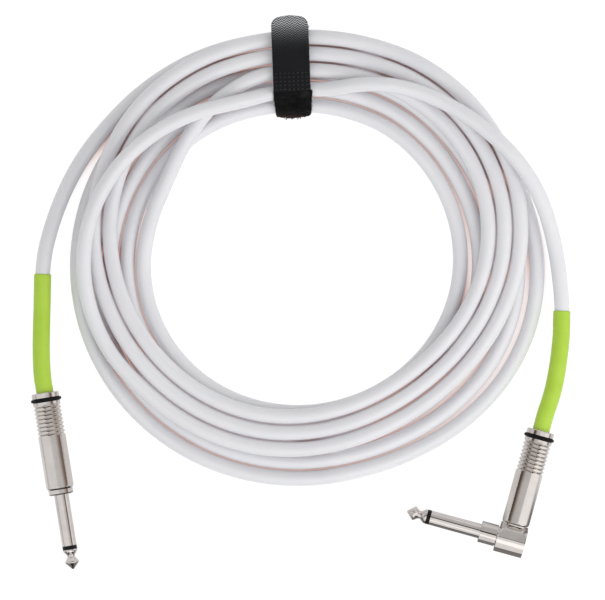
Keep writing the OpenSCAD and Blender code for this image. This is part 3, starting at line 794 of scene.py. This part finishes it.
# Each loop is an arch of yarn, left out underneath and under the tape. At the near edge more and
# longer loops stand out in tufts, as a fringe.
LOOPS, FRINGE_LOOPS = 3600, 1000
ARCH_POINTS, YARN_SIDES = 6, 3
YARN_R = 0.055
COVERED = 7.6
rnd = random.Random(11)
fringe = [k for k in range(m) if outer[k][2] < -0.75]
for loop in range(LOOPS + FRINGE_LOOPS):
    k = rnd.randrange(m) if loop < LOOPS else rnd.choice(fringe)
    y, z, ny, nz = outer[k]
    if z < LOW_Z - R_IN + 0.3:
        continue
    reach = band_half(y, z)
    x = rnd.uniform(0.1 - reach, reach - 0.1)
    if TOP_FROM < y < 14.8 and z > HIGH_Z + 2 and SHIFT - COVERED < x < SHIFT + COVERED:
        continue
    ty, tz = -nz, ny
    facing = max(0, -ny - 0.4)
    turn = rnd.uniform(0, 2 * math.pi)
    high, wide = rnd.uniform(0.3, 0.62), rnd.uniform(0.22, 0.4)
    tuft = 1.3 * max(0, noise.noise(Vector((x * 1.5, 0.4, 7.0))))
    high += 1.7 * facing * max(0, 1 - (x / 7.6) ** 2) * (0.6 + tuft + 0.7 * rnd.random() ** 10)
    high *= 1 - 0.5 * max(0, -ny) * (abs(x) / 8) ** 4
    lean_x, lean_t = rnd.uniform(-0.3, 0.3), rnd.uniform(-0.3, 0.3)
    at = rnd.uniform(-0.25, 0.25)
    arch = []
    for s in range(ARCH_POINTS):
        a = math.pi * s / (ARCH_POINTS - 1)
        u = wide * math.cos(a)
        h = high * math.sin(a) - 0.08
        dx, dt = u * math.cos(turn) + lean_x * h, u * math.sin(turn) + lean_t * h + at
        arch.append(Vector((x + dx, y + ty * dt + ny * h, z + tz * dt + nz * h)))
    t = YARN_R + 0.15 * facing
    faces += tube_faces(len(verts), ARCH_POINTS, YARN_SIDES)
    for s, p in enumerate(arch):
        d = (arch[min(ARCH_POINTS - 1, s + 1)] - arch[max(0, s - 1)]).normalized()
        side = d.cross(Vector((0, ny, nz))).normalized()
        up = side.cross(d)
        for a in (0.5, 2.6, 4.7):
            q = p + t * (math.cos(a) * side + math.sin(a) * up)
            verts.append(strap_world(q.x, q.y, max(0.02, q.z)))
band = mesh_object("strap_loop_pile_band", verts, faces)
band.data.materials.append(PILE)
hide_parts("strap_band")
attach(band, "cable")


# The woven tail, one tape from its sewn root to its free end, bending at the hinge.
def poly_at(pts, y):
    """Second value at y on a line of (y, value) corners."""
    for (y0, z0), (y1, z1) in zip(pts, pts[1:]):
        if y <= y1:
            f = (y - y0) / (y1 - y0)
            f = max(0, min(1, f))
            return z0 + (z1 - z0) * f
    return pts[-1][1]


ROOT, HINGE, TIP = -8.6, 0.8, 24.4
TAPE = ((ROOT, 0.5), (0.4, 0.52), (2.2, 0.95), (4.6, 1.56), (16, 1.6), (20.4, 1.0), (TIP, 0.0))
TAPE_HALF = 0.5
CORNER_R, BOW = 3.9, 6.4
TAPE_POINTS = 47


def tape_z(y):
    """Height of the tape's middle, its corners eased over 1.6 mm."""
    s = 0
    for d in (-0.8, -0.4, 0, 0.4, 0.8):
        s += poly_at(TAPE, y + d)
    return BAND_TOP + s / 5


def tail_edge():
    """Right edge of the rounded end, as (y, x) going up: two corners under a flat bow."""
    pts = [(0.0, WIDTH / 2)]
    for i in range(46):
        a = math.radians(2 * i)
        pts.append((20.0 + CORNER_R * math.sin(a), WIDTH / 2 - CORNER_R + CORNER_R * math.cos(a)))
        pts.append((18.0 + BOW * math.sin(a), WIDTH / 2 * math.cos(a)))
    hull = []
    for p in sorted(pts):
        while len(hull) > 1 and ((hull[-1][0] - hull[-2][0]) * (p[1] - hull[-2][1])
                                 - (hull[-1][1] - hull[-2][1]) * (p[0] - hull[-2][0])) >= 0:
            hull.pop()
        hull.append(p)
    return hull


TAIL_EDGE = tail_edge()


def half_width(y):
    return max(0.05, poly_at(TAIL_EDGE, y))


END_FROM = 21.4  # from here to the tip the rows lie closer
ys = ([ROOT + 0.35 * i for i in range(86)] + [END_FROM + 0.2 * i for i in range(13)]
      + [23.9, 24.0, 24.1, 24.2, 24.28, 24.34, 24.38])
verts, uvs = [], []
for side in (1, -1):
    for y in ys:
        hw = half_width(y)
        for j in range(TAPE_POINTS):
            f = j / (TAPE_POINTS - 1) * 2 - 1
            x = f * hw
            edge = min(1, (1 - abs(f)) * hw / 0.45)
            rim = math.sqrt(max(0, 1 - (1 - edge) ** 2))
            endf = min(1, (24.5 - y) / 0.5, (y - ROOT) / 0.25)
            rim *= math.sqrt(max(0.0, 1 - (1 - max(0, endf)) ** 2))
            thick = TAPE_HALF * (0.35 + 0.65 * rim)
            cup = 0.05 * noise.noise(Vector((x * 0.12, y * 0.12, 2.0)))
            verts.append(strap_world(x + SHIFT, y, tape_z(y) + side * thick + cup))
            uvs.append((x, y))
tape = mesh_object("strap_woven_tape", verts, sheet_faces(len(ys), TAPE_POINTS))
tape.data.materials.append(WOVEN)
tape.data.materials.append(WOVEN_EDGE)
layer = tape.data.uv_layers.new(name="tape")
for poly in tape.data.polygons:
    for li, vi in zip(poly.loop_indices, poly.vertices):
        layer.data[li].uv = uvs[vi]
    corners = [uvs[vi] for vi in poly.vertices]
    if min(abs(x) for x, y in corners) > WIDTH / 2 - 0.9 and max(y for x, y in corners) < END_FROM:
        poly.material_index = 1
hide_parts("strap_sewn_end", "strap_tail")
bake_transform(tape)


# Stitches: rows of short crosswise threads that hold the root down.
STITCH_ROWS = (-7.7, -5.95, -4.2, -2.45, -0.75)
STITCHES_A_ROW, STITCH_FROM, STITCH_PITCH = 8, -6.65, 1.9
STITCH_R, STITCH_LONG = 0.28, 0.75
STITCH_RINGS, STITCH_SIDES = 7, 6
vs, fs = [], []
for y in STITCH_ROWS:
    z = tape_z(y) + TAPE_HALF + 0.02
    for i in range(STITCHES_A_ROW):
        x = STITCH_FROM + i * STITCH_PITCH
        first = len(vs)
        for s in range(STITCH_RINGS):
            f = s / (STITCH_RINGS - 1) * 2 - 1
            lift = 0.13 * (1 - f * f) - 0.07
            r = STITCH_R * (0.55 + 0.45 * (1 - f * f))
            for k in range(STITCH_SIDES):
                a = 2 * math.pi * k / STITCH_SIDES
                vs.append(strap_world(x + SHIFT + f * STITCH_LONG / 2, y + math.cos(a) * r,
                                      z + lift + math.sin(a) * r))
        fs += tube_faces(first, STITCH_RINGS, STITCH_SIDES)
        fs.append(tuple(first + k for k in range(STITCH_SIDES - 1, -1, -1)))
        fs.append(tuple(len(vs) - STITCH_SIDES + k for k in range(STITCH_SIDES)))
thread = mesh_object("strap_stitches", vs, fs)
thread.data.materials.append(THREAD)
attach(thread, "cable")

# The hook patch under the tail: a thin tape and rows of small hooks.
PATCH_TOP, PATCH_UNDER = -0.52, -0.98  # from the middle of the tape above it
PATCH_X = (-7.0, -3.5, 0.0, 3.5, 7.0)
PATCH_Y = [6.0 + 0.6 * i for i in range(28)]
HOOK_ROWS, HOOKS_A_ROW = 24, 20
HOOK = ((0, 0.0), (0.02, -0.14), (0.12, -0.26), (0.24, -0.2), (0.25, -0.1))  # bends in (y, z)
HOOK_SECTION = ((-0.06, 0.0), (0.06, 0.0), (0.0, 0.07))
vs = [strap_world(x + SHIFT, y, tape_z(y) + dz)
      for dz in (PATCH_TOP, PATCH_UNDER) for y in PATCH_Y for x in PATCH_X]
fs = sheet_faces(len(PATCH_Y), len(PATCH_X))
for i in range(HOOK_ROWS):
    for j in range(HOOKS_A_ROW):
        y = 6.4 + i * 0.68
        x = -6.7 + j * 0.705 + (0.2 if i % 2 else 0)
        z = tape_z(y) + PATCH_UNDER
        fs += tube_faces(len(vs), len(HOOK), len(HOOK_SECTION))
        for dy, dz in HOOK:
            for ex, ey in HOOK_SECTION:
                vs.append(strap_world(x + ex + SHIFT, y + dy + ey, z + dz))
hooks = mesh_object("strap_hook_tape", vs, fs, smooth=False)
hooks.data.materials.append(HOOKS)
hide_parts("strap_hook_patch")
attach(hooks, "strap_tail_body")

# ---------------------------------------------------------------- floor, lights
# The floor is white to the camera, with a faint shadow close to what lies on it. Seen in the
# metal it is bright as far as a slanting edge, dull on the near side of it, and then goes dark.
FLOOR_AT = (0, 0, -0.00005)
TABLE_EDGE = -0.108
TABLE_SLANT = 0.16
EDGE_BLUR = 0.006
FADE = (-0.30, -0.16)
bpy.ops.mesh.primitive_plane_add(size=6, location=FLOOR_AT)
floor = bpy.context.object
floor.name = "floor"
fm = Mat("pale_floor")
ray = fm.n("ShaderNodeLightPath").outputs
shadow, = fm.occlusion(0.012, 24, (
    [(0.05, lin(168, 126, 116)), (0.2, lin(226, 208, 204)), (0.34, 1.0)],))
white = fm.n("ShaderNodeEmission", Strength=1.07)
fm.l(shadow, white.inputs["Color"])
fm.set(Base_Color=(0.9, 0.9, 0.9), Roughness=0.9)
at = fm.split(fm.coords())
beyond = fm.math("SUBTRACT", at["Y"], fm.math("MULTIPLY", at["X"], TABLE_SLANT))
shown = fm.rng(beyond, 0, 1, *FADE)
mirrored = fm.rng(beyond, 0.12, 0.8, TABLE_EDGE - EDGE_BLUR, TABLE_EDGE + EDGE_BLUR)
seen = fm.math("ADD", fm.math("MULTIPLY", ray["Is Camera Ray"], 0.9),
               fm.math("MULTIPLY", ray["Is Glossy Ray"], fm.math("MULTIPLY", mirrored, shown)))
dull = fm.n("ShaderNodeBsdfDiffuse")
fm.l(fm.ramp(shown, [(0.0, 0.03), (1.0, (0.16, 0.15, 0.15))]), dull.inputs["Color"])
dim = fm.n("ShaderNodeMixShader")
fm.l(ray["Is Glossy Ray"], dim.inputs["Fac"])
fm.l(fm.b.outputs["BSDF"], dim.inputs[1])
fm.l(dull.outputs["BSDF"], dim.inputs[2])
mixer = fm.n("ShaderNodeMixShader")
fm.l(seen, mixer.inputs["Fac"])
fm.l(dim.outputs["Shader"], mixer.inputs[1])
fm.l(white.outputs["Emission"], mixer.inputs[2])
fm.l(mixer.outputs["Shader"], fm.t.nodes["Material Output"].inputs["Surface"])
floor.data.materials.append(fm.m)

# The studio: a near box and a far box of light, with a dark gap between them overhead.
GAP_AT = 0.26
GAP_LEAN, GAP_BOW = -0.055, -0.03
GAP_EDGE = (0.06, 0.165)
GAP_TINT = (1.0, 0.78, 0.62)
world = bpy.data.worlds.new("studio")
scene.world = world
world.use_nodes = True
w = Nodes(world.node_tree)


def step(x, a, b, lo=0.0, hi=1.0):
    """Smoothly from lo to hi while x goes from a to b."""
    return w.rng(x, lo, hi, a, b, "SMOOTHSTEP")


def flip(x):
    return w.math("SUBTRACT", 1.0, x)


sky = w.split(w.coords("Generated"))
low = w.math("MAXIMUM", sky["Z"], 0.03)
across = w.math("MINIMUM", w.math("MAXIMUM", w.math("DIVIDE", sky["X"], low), -2.0), 2.0)
ahead = w.math("DIVIDE", sky["Y"], low)
bow = w.math("MULTIPLY", w.math("MULTIPLY", across, across), GAP_BOW)
bend = w.math("ADD", w.math("MULTIPLY", across, GAP_LEAN), bow)
off_gap = w.math("SUBTRACT", ahead, w.math("ADD", bend, GAP_AT))
near_box = w.math("MULTIPLY", step(ahead, -0.05, 0.03, 1.24, 0.86),
                  step(sky["Z"], 0.03, 0.26, 0.42, 1.0))
far_box = step(sky["Z"], 0.24, 0.66, 1.08, 0.70)
is_far = step(off_gap, -0.01, 0.01)
boxes = w.math("ADD", w.math("MULTIPLY", near_box, flip(is_far)),
               w.math("MULTIPLY", far_box, is_far))
lit = step(w.math("ABSOLUTE", off_gap), *GAP_EDGE)
gap_level = w.math("ADD", step(sky["X"], 0.2, 0.5, 0.05, 0.24),
                   step(sky["X"], -0.45, -0.2, 0.08, 0.0))
level = w.math("ADD", w.math("MULTIPLY", boxes, lit), w.math("MULTIPLY", flip(lit), gap_level))
tint = w.mix(lit, GAP_TINT, (1, 1, 1))
sent = w.n("ShaderNodeLightPath").outputs
# The near horizon is dark where a mirror slope shows it: under the seats and on the tips.
near_low = w.math("MULTIPLY", step(sky["Z"], 0.06, 0.22, 0.9, 0.0),
                  step(sky["Y"], -0.7, -0.4, 1.0, 0.0))
level = w.math("MULTIPLY", level, flip(w.math("MULTIPLY", near_low, sent["Is Glossy Ray"])))
# The right is a little brighter than the left.
sided = w.math("ADD", step(sky["X"], -0.75, 0.1, 0.79, 0.87), step(sky["X"], 0.5, 0.8, 0.0, 0.15))
level = w.math("MULTIPLY", level, sided)
soft = flip(w.math("MULTIPLY", sent["Is Diffuse Ray"], 0.04))
pick = w.n("ShaderNodeMix", data_type="FLOAT")
w.l(sent["Is Camera Ray"], pick.inputs[0])
w.l(w.math("MULTIPLY", level, soft), pick.inputs[2])
pick.inputs[3].default_value = 1.0
bg = w.t.nodes["Background"]
w.l(tint, bg.inputs["Color"])
w.l(pick.outputs[0], bg.inputs["Strength"])


def area(name, loc, size, power):
    """Soft lamp, size (wide, high) in metres, aimed at the origin."""
    d = bpy.data.lights.new(name, "AREA")
    d.energy = power
    d.shape = "RECTANGLE"
    d.size, d.size_y = size
    o = link(bpy.data.objects.new(name, d))
    o.location = loc
    o.rotation_euler = (-Vector(loc)).to_track_quat("-Z", "Y").to_euler()
    return o


area("near_side", (0.25, -0.75, 0.7), (0.7, 0.5), 0.6)
right = area("right_side", (0.52, -0.16, 0.50), (0.5, 0.5), 1.0)
right.visible_glossy = False
